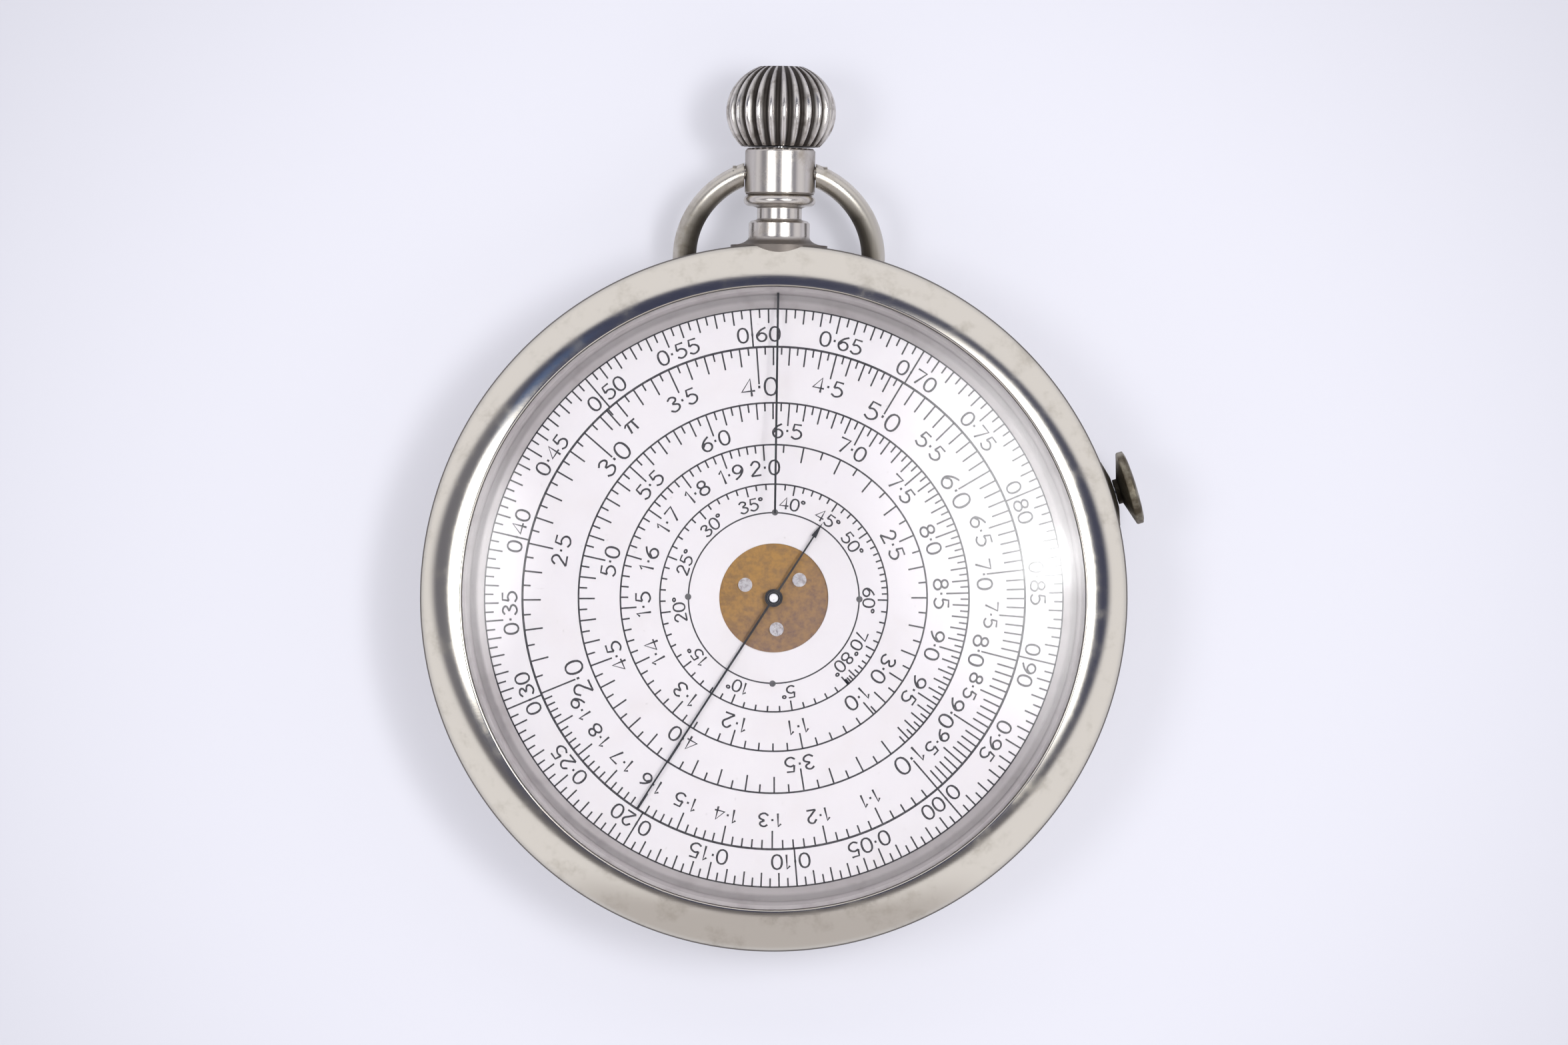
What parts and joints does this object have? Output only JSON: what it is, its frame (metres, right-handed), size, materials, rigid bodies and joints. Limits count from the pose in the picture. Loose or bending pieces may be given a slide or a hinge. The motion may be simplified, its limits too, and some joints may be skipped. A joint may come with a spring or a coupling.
{
  "type": "circular slide rule",
  "caption": "Pocket-watch circular slide rule: a geared dial turned by a fluted crown under a fixed index line, and a hand turned by a side knob, in a domed case with a folding bow.",
  "frame": {"origin": "middle of the flat of the back cover, on the dial's axis", "axes": "+Z out of the crystal along the dial's axis, +Y towards the crown, +X to the right of the dial"},
  "size_m": [0.0686, 0.084, 0.015],
  "materials": {
    "nickel_case": "worn nickel silver, polished",
    "polished_nickel": "polished nickel plate",
    "worn_nickel": "nickel plate worn to a dull brown",
    "crystal_glass": "clear domed glass",
    "black_line": "black",
    "blued_steel": "blued to near black",
    "dial_paper": "white printed card under lacquer",
    "brass": "aged lacquered brass",
    "spring_brass": "rolled spring brass",
    "steel": "turned steel"
  },
  "bodies": {
    "case": {"case_band": "nickel_case", "back_cover": "nickel_case", "bezel": "nickel_case", "crystal": "crystal_glass", "index_line": "black_line", "dial_surround": "polished_nickel", "pendant": "nickel_case", "stem_sleeve": "brass", "side_bush": "worn_nickel", "main_plate": "brass", "plate_screws": "steel", "centre_post": "steel", "dial_spring": "spring_brass", "cursor_spring": "spring_brass", "crown_bridge": "brass", "side_bridge": "brass", "bridge_screws": "steel"},
    "dial": {"dial_plate": "brass", "dial_card": "dial_paper", "dial_rivets": "steel", "dial_hub": "brass", "hub_screws": "steel", "dial_wheel": "brass"},
    "crown_group": {"crown": "nickel_case", "crown_stem": "steel", "crown_pinion": "steel"},
    "side_group": {"side_knob": "worn_nickel", "side_stem": "steel", "side_pinion": "steel"},
    "cursor": {"cursor_hand": "blued_steel", "hand_collet": "blued_steel", "cursor_arbor": "steel", "cursor_wheel": "brass"},
    "bow_group": {"bow": "nickel_case"}
  },
  "joints": [
    {"name": "dial_turn", "type": "hinge", "parent": "case", "child": "dial", "pos_m": [0, 0, 0.01], "axis": [0, 0, 1], "continuous": true},
    {"name": "crown_turn", "type": "hinge", "parent": "case", "child": "crown_group", "pos_m": [0, 0.046, 0.0074], "axis": [0, 1, 0], "continuous": true},
    {"name": "cursor_turn", "type": "hinge", "parent": "case", "child": "cursor", "pos_m": [0, 0, 0.0114], "axis": [0, 0, 1], "continuous": true},
    {"name": "side_knob_turn", "type": "hinge", "parent": "case", "child": "side_group", "pos_m": [0.03281, 0.01066, 0.0074], "axis": [0.9511, 0.309, 0], "continuous": true},
    {"name": "bow_swing", "type": "hinge", "parent": "case", "child": "bow_group", "pos_m": [0, 0.0404, 0.0074], "axis": [1, 0, 0], "range_deg": [0, 295]}
  ],
  "couplings": [
    {"joint": "crown_turn", "follows": "dial_turn", "ratio": -6},
    {"joint": "side_knob_turn", "follows": "cursor_turn", "ratio": 4}
  ]
}
